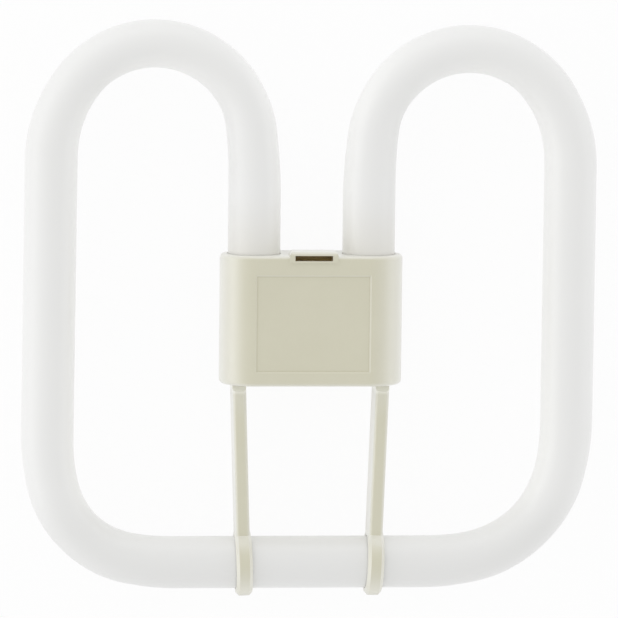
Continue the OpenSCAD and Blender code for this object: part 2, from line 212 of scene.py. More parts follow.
class GroupSheet(NodeSheet):
    """A node group with named inputs and outputs."""

    def __init__(
        self, name: str, kind: str, inputs: dict[str, str], outputs: dict[str, str]
    ) -> None:
        """Args:
        name: The group's name.
        kind: ShaderNodeTree or GeometryNodeTree.
        inputs: Socket type by input name, in order.
        outputs: Socket type by output name, in order.
        """
        super().__init__(bpy.data.node_groups.new(name, kind))
        for way, sockets in (("INPUT", inputs), ("OUTPUT", outputs)):
            for label, socket_type in sockets.items():
                self.tree.interface.new_socket(label, in_out=way, socket_type=socket_type)
        self.given = self.add("NodeGroupInput").outputs
        self.result = self.add("NodeGroupOutput").inputs

    def through(self, mesh: Socket, steps: dict[str, Feeds]) -> Socket:
        """Leads a mesh through Geometry nodes in turn.

        Args:
            mesh: The mesh's socket.
            steps: The other inputs of each node, by the node's type name without its prefix.

        Returns:
            The last node's socket.
        """
        for kind, feeds in steps.items():
            mesh = self.add("GeometryNode" + kind, {"Geometry": mesh, **feeds}).outputs[0]
        return mesh

    def per(self, label: str) -> Socket:
        """Texture scale for features of the size that the named input gives."""
        return self.math("DIVIDE", 1.0, self.given[label])

    def give(self, results: dict[str, Socket]) -> Tree:
        """Joins the group's outputs.

        Args:
            results: The socket for each output, by the output's name.

        Returns:
            The finished tree.
        """
        for label, socket in results.items():
            self.feed(self.result[label], socket)
        return self.tree


FLOAT = "NodeSocketFloat"
VECTOR = "NodeSocketVector"
INTEGER = "NodeSocketInt"
GEOMETRY = "NodeSocketGeometry"
MATERIAL = "NodeSocketMaterial"


class SurfaceGroups:
    """Surface effects that several finishes share, each built once."""

    def __init__(self) -> None:
        """Builds every group."""
        self.grain = self._grain()
        self.drift = self._drift()
        self.rub = self._rub()

    @staticmethod
    def _grain() -> Tree:
        """Fine pits of a spark-eroded mould or a fired paste, as a height and a mask."""
        pit_depth = 0.35
        sheet = GroupSheet(
            "surface_grain",
            "ShaderNodeTree",
            {"Vector": VECTOR, "Grain Size": FLOAT, "Pit Size": FLOAT},
            {"Height": FLOAT, "Pits": FLOAT},
        )
        where = sheet.given["Vector"]
        fine = sheet.noise(where, sheet.per("Grain Size"), 3.0, 0.6)
        cells = sheet.add(
            "ShaderNodeTexVoronoi",
            {"Vector": where, "Scale": sheet.per("Pit Size"), "Randomness": 1.0},
            feature="SMOOTH_F1",
        )
        pits = sheet.math("SUBTRACT", 1.0, cells.outputs["Distance"], clamp=True)
        height = sheet.math("SUBTRACT", fine, sheet.math("MULTIPLY", pits, pit_depth))
        return sheet.give({"Height": height, "Pits": pits})

    @staticmethod
    def _drift() -> Tree:
        """Slow drift of tone and gloss over a surface, with finer clouds in it."""
        clouds_per_drift, steep = 5.3, (0.2, 0.8)
        sheet = GroupSheet(
            "tone_drift",
            "ShaderNodeTree",
            {"Vector": VECTOR, "Drift Size": FLOAT, "Cloud Share": FLOAT},
            {"Tone": FLOAT, "Gloss": FLOAT},
        )
        where, per_drift = sheet.given["Vector"], sheet.per("Drift Size")
        slow = sheet.noise(where, per_drift, 1.0)
        clouds = sheet.noise(where, sheet.math("MULTIPLY", per_drift, clouds_per_drift), 1.0)
        mixed = sheet.add("ShaderNodeMix", {0: sheet.given["Cloud Share"], 2: slow, 3: clouds})
        tone = sheet.ramp(mixed.outputs[0], steep, smooth=True)
        return sheet.give({"Tone": tone, "Gloss": clouds})

    @staticmethod
    def _rub() -> Tree:
        """Mask of rubbed edges, broken up so that the rub isn't even."""
        edge_points, least_rub = (0.51, 0.6), 0.35
        sheet = GroupSheet(
            "edge_rub",
            "ShaderNodeTree",
            {"Vector": VECTOR, "Pointiness": FLOAT, "Patch Size": FLOAT},
            {"Edge": FLOAT},
        )
        edge = sheet.ramp(sheet.given["Pointiness"], edge_points, smooth=True)
        patches = sheet.noise(sheet.given["Vector"], sheet.per("Patch Size"), 3.0)
        share = sheet.ramp(patches, (0.0, 1.0), (least_rub, 1.0))
        return sheet.give({"Edge": sheet.math("MULTIPLY", edge, share)})


class MaterialSheet(NodeSheet):
    """The node tree of a new material, round its Principled BSDF."""

    def __init__(self, name: str, groups: SurfaceGroups) -> None:
        """Args:
        name: The material's name.
        groups: The shared groups.
        """
        self.material = bpy.data.materials.new(name)
        self.material.use_nodes = True
        super().__init__(self.material.node_tree)
        self.groups = groups
        self.shader = self.tree.nodes["Principled BSDF"].inputs
        self.where = self.add("ShaderNodeTexCoord").outputs["Object"]

    def shade(self, values: dict[str, object]) -> None:
        """Sets or joins inputs of the Principled BSDF, by their names."""
        for name, value in values.items():
            self.feed(self.shader[name], value)

    def place(self, group: Tree, **values: object) -> bpy.types.NodeOutputs:
        """Puts a shared group in the material, over its Object coordinates.

        Args:
            group: The shared group.
            **values: Value or socket by input name, with _ for a space. A vector that is
                given takes the place of the Object coordinates.

        Returns:
            The group's outputs.
        """
        node = self.add("ShaderNodeGroup", node_tree=group)
        for name, value in {"vector": self.where, **values}.items():
            self.feed(node.inputs[name.replace("_", " ").title()], value)
        return node.outputs

    def fade(self, length: Socket, mark: Mark) -> Socket:
        """Share of a mark that fades out over its span, which is in millimetres."""
        return self.ease(length, mark.span, (mark.share, 0.0))

    def drift(self, size: float, cloud_share: float, roughness: Pair) -> tuple[Socket, Socket]:
        """Lets tone and roughness drift over the surface.

        Args:
            size: Size of the drift, in millimetres.
            cloud_share: Share of the finer clouds in the tone.
            roughness: Least and most roughness.

        Returns:
            The tone's socket, from 0 to 1, and the roughness's one.
        """
        made = self.place(self.groups.drift, drift_size=size * MM, cloud_share=cloud_share)
        return made["Tone"], self.ramp(made["Gloss"], (0.0, 1.0), roughness)

    def coat(self, reach: float, ior: float, roughness: float, mask: object = 1.0) -> None:
        """Adds a clear top layer that is stronger where the surface turns away.

        Args:
            reach: Reach of the strong part, from 0, the rim alone, to 1, nearly everywhere.
            ior: Its refraction; that of the body under it is BODY_IOR.
            roughness: Its roughness.
            mask: Value or socket that thins the layer where it is below 1.
        """
        facing = self.add("ShaderNodeLayerWeight", {"Blend": reach}).outputs["Facing"]
        weight = self.math("MULTIPLY", facing, mask)
        self.shade({"IOR": BODY_IOR, "Coat Weight": weight})
        self.shade({"Coat IOR": ior, "Coat Roughness": roughness})

    def grain(self, size: float, pits: float, depth: float, **over: Socket) -> dict[str, Socket]:
        """Roughens the surface with fine grain and pits.

        Args:
            size: Size of the grain, in millimetres.
            pits: Size of the pits, in millimetres.
            depth: Depth of the relief, in millimetres.
            **over: The vector, where it isn't the Object coordinates.

        Returns:
            The outputs of the shared group.
        """
        made = self.place(self.groups.grain, grain_size=size * MM, pit_size=pits * MM, **over)
        bump = self.add("ShaderNodeBump", {"Height": made["Height"], "Distance": depth * MM})
        self.shade({"Normal": bump.outputs["Normal"]})
        return made


# Finishes


class Finish:
    """What every finish does; each kind of finish adds its sizes, colours and nodes."""

    name: str
    slot: Slot

    def material(self, groups: SurfaceGroups) -> Material:
        """Builds the material.

        Args:
            groups: The shared groups.

        Returns:
            The finished material.
        """
        sheet = MaterialSheet(self.name, groups)
        self._paint(sheet)
        return sheet.material

    def _paint(self, sheet: MaterialSheet) -> None:
        """Writes the finish's own nodes."""
        raise NotImplementedError


@dataclass(frozen=True)
class Mark:
    """A colour laid over a part of a surface.

    Attributes:
        colour: The colour.
        share: Its greatest share.
        span: The range over which its share changes.
    """

    colour: Colour
    share: float
    span: Pair


@dataclass(frozen=True)
class CoatedGlass(Finish):
    """Clear tube glass with a white powder coating on its inside.

    The powder drifts from powder to thin_powder. Painted light makes it lighter by how far a
    side faces inwards, painted shade makes it darker on the bottom run over spans that are
    each a range of heights with its share, and a painted warm reflection and shade of the cap
    tints it by the distance from the tube's end.
    """

    name: str = "coated_glass"
    slot: Slot = Slot.GLASS
    powder: Colour = (0.87, 0.87, 0.858)
    thin_powder: Colour = (0.865, 0.865, 0.853)
    # Painted light: lighter powder on the sides that face inwards, where shade falls between the
    # limbs.
    painted_inward_light: Mark = Mark((0.945, 0.945, 0.93), 1.0, (0.3, 1.0))
    # Painted shade: darker powder towards the bottom of the tube, over the given height spans.
    painted_low_shade: Colour = (0.8, 0.8, 0.787)
    painted_low_shade_spans: tuple[tuple[Pair, float], ...] = (((-79.0, -60.0), 0.6), ((-98.0, -89.0), 0.4))
    # Painted warm reflection and shade of the cap, near the tube's ends.
    painted_cap_reflection: Mark = Mark((0.745, 0.725, 0.655), 0.58, (34.0, 60.0))
    drift_size: float = 55.0
    cloud_share: float = 0.35
    roughness: Pair = (0.285, 0.315)
    rim_gloss: float = 0.8
    coat: Pair = (2.4, 0.6)

    def _painted_inward_light(self, sheet: MaterialSheet) -> Socket:
        """Mask of the tube's sides that face inwards, where painted light lightens the powder."""
        normal = sheet.add("ShaderNodeNewGeometry").outputs["Normal"]
        turned = sheet.vector("MULTIPLY", normal, sheet.vector("SIGN", sheet.where))
        across, up, _ = sheet.split(turned)
        inward = sheet.math("MULTIPLY", sheet.math("MINIMUM", across, up), -1.0)
        return sheet.ramp(inward, self.painted_inward_light.span, (0.0, self.painted_inward_light.share), smooth=True)

    def _paint(self, sheet: MaterialSheet) -> None:
        """Writes the finish's own nodes."""
        tone, rough = sheet.drift(self.drift_size, self.cloud_share, self.roughness)
        to_end = sheet.add("ShaderNodeAttribute", attribute_name="to_end").outputs["Fac"]
        cap_reflection_share = sheet.fade(to_end, self.painted_cap_reflection)
        _, height, _ = sheet.split(sheet.where)
        low_shade = (sheet.ease(height, span, (share, 0.0)) for span, share in self.painted_low_shade_spans)
        colour = sheet.blend(tone, self.powder, self.thin_powder)
        # Painted light on the sides that face inwards.
        colour = sheet.blend(self._painted_inward_light(sheet), colour, self.painted_inward_light.colour)
        # Painted shade, darker towards the bottom.
        colour = sheet.blend(sheet.math("ADD", *low_shade), colour, self.painted_low_shade)
        # Painted warm reflection and shade of the cap near the ends.
        colour = sheet.blend(cap_reflection_share, colour, self.painted_cap_reflection.colour)
        sheet.shade({"Base Color": colour, "Roughness": rough})
        sheet.coat(self.rim_gloss, *self.coat)


@dataclass(frozen=True)
class MouldedPlastic(Finish):
    """Cream plastic from a finely eroded mould.

    The body drifts from cream to pale, with specks of a share and a tone. Over it lie painted
    light, paler on faces turned from the front and on the arms' necks and roots in the cap's
    shade, and painted shade at the panel's step, in the latch pocket and on the clips' tips.
    Most spans are ranges of heights. That of rubbed says how square-on a face is where rub
    thins out, that of the painted side light how far it faces the front, and those of the
    painted shade at the step and in the pocket the distance from the panel's step and from
    the walls of the latch pocket. The painted light on the necks has the side light's colour.
    Panel and pocket are half sizes, and pocket_at is the pocket's height on the cap's front
    and the height of its mouth. The gloss is full from panel_clear off the panel.
    """

    name: str = "cap_plastic"
    slot: Slot = Slot.PLASTIC
    cream: Colour = (0.663, 0.642, 0.502)
    pale: Colour = (0.683, 0.662, 0.522)
    drift_size: float = 21.0
    cloud_share: float = 0.3
    speck: Pair = (0.12, 0.86)
    rubbed: Mark = Mark((0.74, 0.73, 0.65), 0.5, (0.985, 0.998))
    rub_polish: float = -0.02
    rub_patch: float = 2.5
    # Painted light: paler sides and top where faces turn away from the front.
    painted_side_light: Mark = Mark((0.79, 0.78, 0.69), 1.0, (0.25, 0.93))
    # Painted light on the arms' necks, which lie in the cap's shade.
    painted_neck_light: Mark = Mark((0.79, 0.78, 0.69), 0.45, (-38.0, -25.0))
    # Painted light: near-white arm roots in the shaded notch under the cap.
    painted_root_light: Mark = Mark((0.96, 0.95, 0.86), 1.0, (-27.2, -25.0))
    cap_foot: Pair = (-24.0, -23.3)
    clip_foot: Pair = (-98.0, -91.0)
    # Painted shade on the clips' tips.
    painted_tip_shade: Mark = Mark((0.4, 0.375, 0.27), 0.4, (-100.1, -97.9))
    # Painted shade along the panel's step.
    painted_step_shade: Mark = Mark((0.53, 0.5, 0.35), 0.5, (0.0, 0.4))
    panel: Pair = (20.0, 16.9)
    panel_y: float = -0.9
    panel_clear: Pair = (0.9, 1.3)
    # Painted shade: dark brown inside the latch pocket.
    painted_pocket_shade: Mark = Mark((0.5, 0.32, 0.06), 0.9, (-0.3, 0.0))
    pocket: Place = (7.1, 1.1, 10.0)
    pocket_at: Pair = (22.1, 23.1)
    roughness: Pair = (0.3, 0.38)
    rim_gloss: float = 0.9
    coat: Pair = (3.4, 0.42)
    sheen: Pair = (0.3, 0.5)
    grain_size: float = 0.32
    pit_size: float = 0.5
    relief: float = 0.014

    @staticmethod
    def _off_box(sheet: MaterialSheet, middle: Place, half: Place) -> Socket:
        """Distance of a point from a box that is given in millimetres, negative inside it."""
        way = sheet.vector("SUBTRACT", sheet.where, tuple(v * MM for v in middle))
        way = sheet.vector("ABSOLUTE", way)
        way = sheet.vector("SUBTRACT", way, tuple(v * MM for v in half))
        return sheet.largest(*sheet.split(way))

    def _painted_light(self, sheet: MaterialSheet, turn: Socket, height: Socket, body: Socket) -> Socket:
        """Lays painted light on the sides and on the arms' necks and roots, and returns the
        colour.
        """
        side_light_share = sheet.ramp(turn, self.painted_side_light.span, (self.painted_side_light.share, 0.0))
        above = sheet.ease(height, self.clip_foot, (0.0, 1.0))
        below = sheet.ease(height, self.cap_foot, (1.0, 0.0))
        # Shares of painted light on the arms' necks and roots, in the cap's shade.
        painted_neck_light, root_light_share = (
            sheet.math("MULTIPLY", below, sheet.ease(height, mark.span, (0.0, mark.share)))
            for mark in (self.painted_neck_light, self.painted_root_light)
        )
        # Share of painted light: sides above the clips' feet, and the arms' necks.
        pale = sheet.largest(sheet.math("MULTIPLY", side_light_share, above), painted_neck_light)
        body = sheet.blend(pale, body, self.painted_side_light.colour)
        # Painted light, near white, on the arms' roots.
        return sheet.blend(root_light_share, body, self.painted_root_light.colour)

    def _marks(self, sheet: MaterialSheet, height: Socket, body: Socket) -> tuple[Socket, Socket]:
        """Lays painted shade at the panel's step, in the latch pocket and on the clips' tips.

        Returns:
            The new colour, and a mask that is 0 where there is no gloss.
        """
        off = self._off_box(sheet, (0.0, self.panel_y, 0.0), (*self.panel, WHOLE_DEPTH))
        # Painted shade near the panel's step.
        near = sheet.fade(sheet.math("ABSOLUTE", off), self.painted_step_shade)
        clear = sheet.ramp(off, self.panel_clear, unit=MM)
        # Painted shade inside the latch pocket.
        middle = (0.0, self.pocket_at[0], self.pocket_at[1] - self.pocket[2])
        inside = self._off_box(sheet, middle, self.pocket)
        pocket_shade_share = sheet.ramp(inside, self.painted_pocket_shade.span, (self.painted_pocket_shade.share, 0.0), MM)
        # Painted shade on the clips' tips, darker towards the bottom.
        low = sheet.fade(height, self.painted_tip_shade)
        # Painted shade at the step, in the pocket and at the tips.
        for share, mark in ((near, self.painted_step_shade), (pocket_shade_share, self.painted_pocket_shade), (low, self.painted_tip_shade)):
            body = sheet.blend(share, body, mark.colour)
        bare = sheet.math("SUBTRACT", 1.0, sheet.largest(pocket_shade_share, low), clamp=True)
        return body, sheet.math("MULTIPLY", clear, bare)

    def _paint(self, sheet: MaterialSheet) -> None:
        """Writes the finish's own nodes."""
        tone, rough = sheet.drift(self.drift_size, self.cloud_share, self.roughness)
        grain = sheet.grain(self.grain_size, self.pit_size, self.relief)
        surface = sheet.add("ShaderNodeNewGeometry").outputs
        rub = sheet.place(
            sheet.groups.rub, pointiness=surface["Pointiness"], patch_size=self.rub_patch * MM
        )
        turns = sheet.split(sheet.vector("ABSOLUTE", surface["Normal"]))
        _, height, _ = sheet.split(sheet.where)
        speck_share, speck_tone = self.speck
        speck = sheet.math("MULTIPLY", grain["Pits"], speck_share)
        body = sheet.blend(tone, self.cream, self.pale)
        body = sheet.blend(speck, body, tuple(speck_tone * c for c in self.cream))
        # Painted light on sides, necks and roots, then painted shade at the step, the pocket and
        # the tips.
        body = self._painted_light(sheet, turns[2], height, body)
        body, off_panel = self._marks(sheet, height, body)
        off_flats = sheet.ramp(sheet.largest(*turns), self.rubbed.span, (1.0, 0.0))
        edge = sheet.math("MULTIPLY", rub["Edge"], off_flats)
        worn = sheet.math("MULTIPLY", edge, self.rubbed.share)
        polish = sheet.math("MULTIPLY", edge, self.rub_polish)
        colour = sheet.blend(worn, body, self.rubbed.colour)
        sheet.shade({"Base Color": colour, "Roughness": sheet.math("ADD", rough, polish)})
        sheet.shade({"Sheen Weight": self.sheen[0], "Sheen Roughness": self.sheen[1]})
        sheet.coat(self.rim_gloss, *self.coat, off_panel)


@dataclass(frozen=True)
class TurnedMetal(Finish):
    """Metal with fine marks round or along it, for the pins and the wires."""

    name: str
    slot: Slot
    bright: Colour
    dull: Colour
    roughness: Pair
    drift_size: float = 3.0
    cloud_share: float = 0.5
    mark_size: float = 0.12
    mark_scale: Place = (0.05, 0.05, 1.0)
    relief: float = 0.004

    def _paint(self, sheet: MaterialSheet) -> None:
        """Writes the finish's own nodes."""
        tone, rough = sheet.drift(self.drift_size, self.cloud_share, self.roughness)
        rings = sheet.add("ShaderNodeMapping", {"Vector": sheet.where, "Scale": self.mark_scale})
        around = rings.outputs["Vector"]
        sheet.grain(self.mark_size, 2 * self.mark_size, self.relief, vector=around)
        colour = sheet.blend(tone, self.bright, self.dull)
        sheet.shade({"Base Color": colour, "Roughness": rough, "Metallic": 1.0})


@dataclass(frozen=True)
class FiredPaste(Finish):
    """Grey-white capping cement with a coarse, dry surface."""

    name: str = "capping_cement"
    slot: Slot = Slot.CEMENT
    pale: Colour = (0.74, 0.72, 0.66)
    dark: Colour = (0.55, 0.53, 0.47)
    roughness: Pair = (0.75, 0.95)
    grain_size: float = 0.5
    pit_size: float = 0.9
    relief: float = 0.08

    def _paint(self, sheet: MaterialSheet) -> None:
        """Writes the finish's own nodes."""
        grain = sheet.grain(self.grain_size, self.pit_size, self.relief)
        colour = sheet.blend(grain["Pits"], self.pale, self.dark)
        rough = sheet.ramp(grain["Height"], (0.0, 1.0), self.roughness)
        sheet.shade({"Base Color": colour, "Roughness": rough})


# Meshes


def link(name: str, data: bpy.types.ID) -> Object:
    """Puts a mesh, a lamp or a camera in the scene.

    Args:
        name: The new object's name.
        data: Its data, in metres, in the row frame.

    Returns:
        The object, at the origin.
    """
    obj = bpy.data.objects.new(name, data)
    bpy.context.scene.collection.objects.link(obj)
    return obj


def realised(obj: Object, name: str) -> Object:
    """Turns an object's modifiers into plain mesh.

    Args:
        obj: The object with its modifiers; it is deleted.
        name: The new object's name.

    Returns:
        A new object with the evaluated mesh and no modifier.
    """
    depsgraph = bpy.context.evaluated_depsgraph_get()
    mesh = bpy.data.meshes.new_from_object(
        obj.evaluated_get(depsgraph), preserve_all_data_layers=True, depsgraph=depsgraph
    )
    bpy.data.objects.remove(obj)
    mesh.name = name
    return link(name, mesh)


def grown(
    obj: Object, tree: Tree, values: dict[str, object], name: str
) -> Object:
    """Runs a Geometry Nodes tree on an object and keeps the result as plain mesh.

    Args:
        obj: The object to start from; it is deleted.
        tree: The Geometry Nodes tree.
        values: Value by the input's name; each is set by its socket's identifier.
        name: The new object's name.

    Returns:
        The new object.
    """
    modifier = obj.modifiers.new(tree.name, "NODES")
    modifier.node_group = tree
    for item in tree.interface.items_tree:
        if item.in_out == "INPUT" and item.name in values:
            modifier[item.identifier] = values[item.name]
    return realised(obj, name)


def wear(obj: Object, material: Material) -> None:
    """Makes a material an object's only one."""
    obj.data.materials.clear()
    obj.data.materials.append(material)


def face_out(mesh: Mesh) -> None:
    """Recalculates a closed mesh's normals so that they point outwards."""
    bm = bmesh.new()
    bm.from_mesh(mesh)
    bmesh.ops.recalc_face_normals(bm, faces=bm.faces)
    bm.to_mesh(mesh)
    bm.free()


def lathe(profile: Sequence[Pair], sides: int) -> Mesh:
    """Turns a profile round the Z axis.

    Args:
        profile: Radius and height of each point in millimetres, from the lower end to the
            upper one; the first and the last radius are 0.
        sides: Number of sides.

    Returns:
        A closed mesh in metres.
    """
    bm = bmesh.new()
    rings = []
    for radius, height in profile[1:-1]:
        angles = (2 * math.pi * k / sides for k in range(sides))
        rings.append(
            [
                bm.verts.new((radius * math.cos(a) * MM, radius * math.sin(a) * MM, height * MM))
                for a in angles
            ]
        )
    for low, high in zip(rings, rings[1:]):
        for k in range(sides):
            j = (k + 1) % sides
            bm.faces.new((low[k], low[j], high[j], high[k]))
    for ring, height, step in ((rings[0], profile[0][1], -1), (rings[-1], profile[-1][1], 1)):
        pole = bm.verts.new((0.0, 0.0, height * MM))
        for k in range(sides):
            pair = (ring[k], ring[(k + 1) % sides])
            bm.faces.new((*pair[::step], pole))
    bmesh.ops.recalc_face_normals(bm, faces=bm.faces)
    mesh = bpy.data.meshes.new("turned")
    bm.to_mesh(mesh)
    bm.free()
    return mesh


def finish_piece(obj: Object, nodes: Iterable[str]) -> None:
    """Hands a piece over to the frame.

    Args:
        obj: The piece, with its material already on it.
        nodes: The CAD nodes that it stands for.
    """
    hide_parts(*nodes)
    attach(obj, BODY)
    triangles = sum(len(p.vertices) - 2 for p in obj.data.polygons)
    LOG.info("%s: %d triangles, stands for %s", obj.name, triangles, ", ".join(nodes))


# Sub-assemblies


class Assembly:
    """A sub-assembly of the lamp; each kind makes or dresses its own pieces."""

    def build(self, groups: SurfaceGroups) -> None:
        """Makes the pieces and hands them over to the frame.

        Args:
            groups: The shared surface groups.
        """
        raise NotImplementedError


@dataclass(frozen=True)
class LoopShape:
    """What differs between the two hand-bent loops.

    Attributes:
        side: 1 for the right-hand loop and -1 for the left one.
        top: Height of the arch's axis above the middle of the cap.
        lean: Outward lean of the outer limb, in degrees.
        corner_r: Radius of the lower corner.
    """

    side: int
    top: float
    lean: float
    corner_r: float


@dataclass(frozen=True)
class Stretch:
    """One arc or straight of the tube's axis.

    Attributes:
        radius: Radius of an arc, or 0 for a straight.
        amount: Turn of an arc in degrees, or length of a straight.
        slim: Share by which the tube is narrowed at its two ends.
    """

    radius: float
    amount: float
    slim: Pair = (0.0, 0.0)


@dataclass
class DischargeTube(Assembly):
    """The glass tube: two loops on one bottom run, swept along its axis.

    The pitches are distances between the limbs' axes, bottom_drop is that of the bottom
    run's axis below the cap's middle, and a pinch seal has a width and a thickness. Each
    ease, and the corners' entry and exit, is a bend's radius and turn. A slim value is the
    share by which the tube narrows in a bend, and its ends are what is left of that at the
    bend's ends. Rings are a step apart in bends and straight_step steps in straights.
    """

    diameter: float = 18.7
    inner_pitch: float = 41.0
    outer_pitch: float = 185.6
    bottom_drop: float = 88.2
    axis_z: float = 11.2
    end_y: float = -12.7
    pinch: Pair = (13.0, 3.6)
    pinch_len: float = 7.0
    shoulder: float = 7.0
    shoulder_steps: int = 12
    inner_ease: Pair = (200.0, 6.3)
    outer_ease: Pair = (47.0, 34.0)
    corner_entry: Pair = (76.0, 14.0)
    corner_exit: Pair = (86.0, 11.0)
    crown_slim: float = 1.65 / 18.7
    crown_slim_ends: Pair = (0.45, 0.7)
    corner_slim: float = 1.1 / 18.7
    corner_slim_ends: float = 0.45
    crown_share: float = 0.14
    loops: tuple[LoopShape, LoopShape] = (
        LoopShape(1, 96.5, 0.0, 41.6),
        LoopShape(-1, 97.8, 0.6, 34.8),
    )
    sides: int = 80
    step: float = 2.0
    straight_step: int = 3
    finish: CoatedGlass = field(default_factory=CoatedGlass)

    @staticmethod
    def _across(radius: float, start: float, end: float) -> float:
        """Sideways travel along an arc between two headings in degrees."""
        return radius * (math.cos(math.radians(start)) - math.cos(math.radians(end)))

    @staticmethod
    def _up(radius: float, start: float, end: float) -> float:
        """Upward travel along an arc between two headings in degrees."""
        return radius * (math.sin(math.radians(end)) - math.sin(math.radians(start)))

    def _stretches(self, loop: LoopShape) -> list[Stretch]:
        """One loop's stretches, from the inner limb's foot to the middle of the bottom run."""
        turned = 180.0 - loop.lean
        into, out = self.inner_ease[1], turned - self.outer_ease[1]
        entry, leave = turned + self.corner_entry[1], 270.0 - self.corner_exit[1]
        span = (self.outer_pitch - self.inner_pitch) / 2
        rest = span - self._across(self.inner_ease[0], 0, into)
        rest -= self._across(self.outer_ease[0], out, turned)
        crown = rest / (math.cos(math.radians(into)) - math.cos(math.radians(out)))
        rise = self._up(self.inner_ease[0], 0, into) + crown * (1 - math.sin(math.radians(into)))
        start_y = self.end_y + self.pinch_len + self.shoulder
        foot = loop.top - rise + self._up(self.inner_ease[0], 0, into)
        foot += self._up(crown, into, out) + self._up(self.outer_ease[0], out, turned)
        bends = (
            (self.corner_entry[0], turned, entry),
            (loop.corner_r, entry, leave),
            (self.corner_exit[0], leave, 270.0),
        )
        corner_x = sum(self._across(*bend) for bend in bends)
        corner_y = sum(self._up(*bend) for bend in bends)
        limb = (foot + corner_y + self.bottom_drop) / math.cos(math.radians(loop.lean))
        end_x = self.outer_pitch / 2 + limb * math.sin(math.radians(loop.lean)) + corner_x
        arch, ends = out - into, self.crown_share
        full, bent = self.crown_slim, self.corner_slim
        low, high = (share * full for share in self.crown_slim_ends)
        eased = self.corner_slim_ends * bent
        return [
            Stretch(0.0, loop.top - rise - start_y),
            Stretch(*self.inner_ease, (0.0, low)),
            Stretch(crown, arch * ends, (low, full)),
            Stretch(crown, arch * (1 - 2 * ends), (full, full)),
            Stretch(crown, arch * ends, (full, high)),
            Stretch(*self.outer_ease, (high, 0.0)),
            Stretch(0.0, limb),
            Stretch(*self.corner_entry, (0.0, eased)),
            Stretch(loop.corner_r, (leave - entry) / 2, (eased, bent)),
            Stretch(loop.corner_r, (leave - entry) / 2, (bent, eased)),
            Stretch(*self.corner_exit, (eased, 0.0)),
            Stretch(0.0, end_x),
        ]

    def _loop_points(self, loop: LoopShape) -> list[tuple[float, float, float, float]]:
        """Points of one loop's axis, from its pinch seal to the middle of the bottom run.

        Returns:
            Across, up, slimming and flatness of each point.
        """
        x, y, heading = self.inner_pitch / 2, self.end_y, 0.0
        points = [(x, y, 0.0, 1.0), (x, y + self.pinch_len, 0.0, 1.0)]
        y += self.pinch_len
        for k in range(1, self.shoulder_steps + 1):
            share = k / self.shoulder_steps
            flat = (1 + math.cos(math.pi * share)) / 2
            points.append((x, y + self.shoulder * share, 0.0, flat))
        y += self.shoulder
        for part in self._stretches(loop):
            arc = part.radius > 0
            length = part.radius * math.radians(part.amount) if arc else part.amount
            step = self.step if arc else self.straight_step * self.step
            count = max(2, math.ceil(length / step))
            for k in range(1, count + 1):
                share = k / count
                ease = share * share * (3 - 2 * share)
                slim = part.slim[0] + (part.slim[1] - part.slim[0]) * ease
                if arc:
                    now = heading + part.amount * share
                    across = self._across(part.radius, heading, now)
                    up = self._up(part.radius, heading, now)
                else:
                    across = part.amount * share * math.sin(math.radians(heading))
                    up = part.amount * share * math.cos(math.radians(heading))
                points.append((x + across, y + up, slim, 0.0))
            x, y = points[-1][:2]
            heading += part.amount if arc else 0.0
        return [(loop.side * px, py, slim, flat) for px, py, slim, flat in points]

    def _path(self) -> Object:
        """The tube's whole axis as one chain of edges, with its slimming and flatness."""
        right, left = (self._loop_points(loop) for loop in self.loops)
        points = right + left[-2::-1]
        mesh = bpy.data.meshes.new("tube_path")
        places = [(x * MM, y * MM, self.axis_z * MM) for x, y, _, _ in points]
        mesh.from_pydata(places, [(i, i + 1) for i in range(len(points) - 1)], [])
        for name, column in (("slim", 2), ("flat", 3)):
            layer = mesh.attributes.new(name, "FLOAT", "POINT")
            layer.data.foreach_set("value", [point[column] for point in points])
        return link("tube_path", mesh)

    def _sweep(self) -> Tree:
        """Geometry Nodes tree that sweeps the tube's changing section along its axis."""
        sheet = GroupSheet(
            "tube_sweep",
            "GeometryNodeTree",
            {
                "Path": GEOMETRY,
                "Tube Radius": FLOAT,
                "Seal Half Width": FLOAT,
                "Seal Half Thickness": FLOAT,
                "Sides": INTEGER,
                "Glass": MATERIAL,
            },
            {"Geometry": GEOMETRY},
        )
        given = sheet.given
        curve = sheet.add("GeometryNodeMeshToCurve", {"Mesh": given["Path"]}).outputs[0]
        capture = sheet.add("GeometryNodeCaptureAttribute")
        capture.capture_items.new("VECTOR", "Axis")
        capture.capture_items.new("FLOAT", "Along")
        sheet.feed(capture.inputs["Geometry"], curve)
        sheet.feed(capture.inputs["Axis"], sheet.add("GeometryNodeInputPosition").outputs[0])
        along = sheet.add("GeometryNodeSplineParameter").outputs["Length"]
        sheet.feed(capture.inputs["Along"], along)
        length = sheet.add("GeometryNodeCurveLength", {"Curve": curve}).outputs["Length"]
        feeds = {"Resolution": given["Sides"], "Radius": given["Tube Radius"]}
        ring = sheet.add("GeometryNodeCurvePrimitiveCircle", feeds).outputs["Curve"]
        feeds = {"Curve": capture.outputs["Geometry"], "Profile Curve": ring, "Fill Caps": True}
        tube = sheet.add("GeometryNodeCurveToMesh", feeds)
        slim, flat = (
            sheet.add("GeometryNodeInputNamedAttribute", {"Name": name}).outputs["Attribute"]
            for name in ("slim", "flat")
        )
        round_share = sheet.math("SUBTRACT", 1.0, flat)
        seal_w = sheet.math("DIVIDE", given["Seal Half Width"], given["Tube Radius"])
        seal_t = sheet.math("DIVIDE", given["Seal Half Thickness"], given["Tube Radius"])
        wide = sheet.math("MULTIPLY", sheet.math("SUBTRACT", 1.0, slim), round_share)
        wide = sheet.math("MULTIPLY_ADD", seal_w, flat, wide)
        thick = sheet.math("MULTIPLY_ADD", seal_t, flat, round_share)
        scale = sheet.add("ShaderNodeCombineXYZ", {"X": wide, "Y": wide, "Z": thick})
        axis = capture.outputs["Axis"]
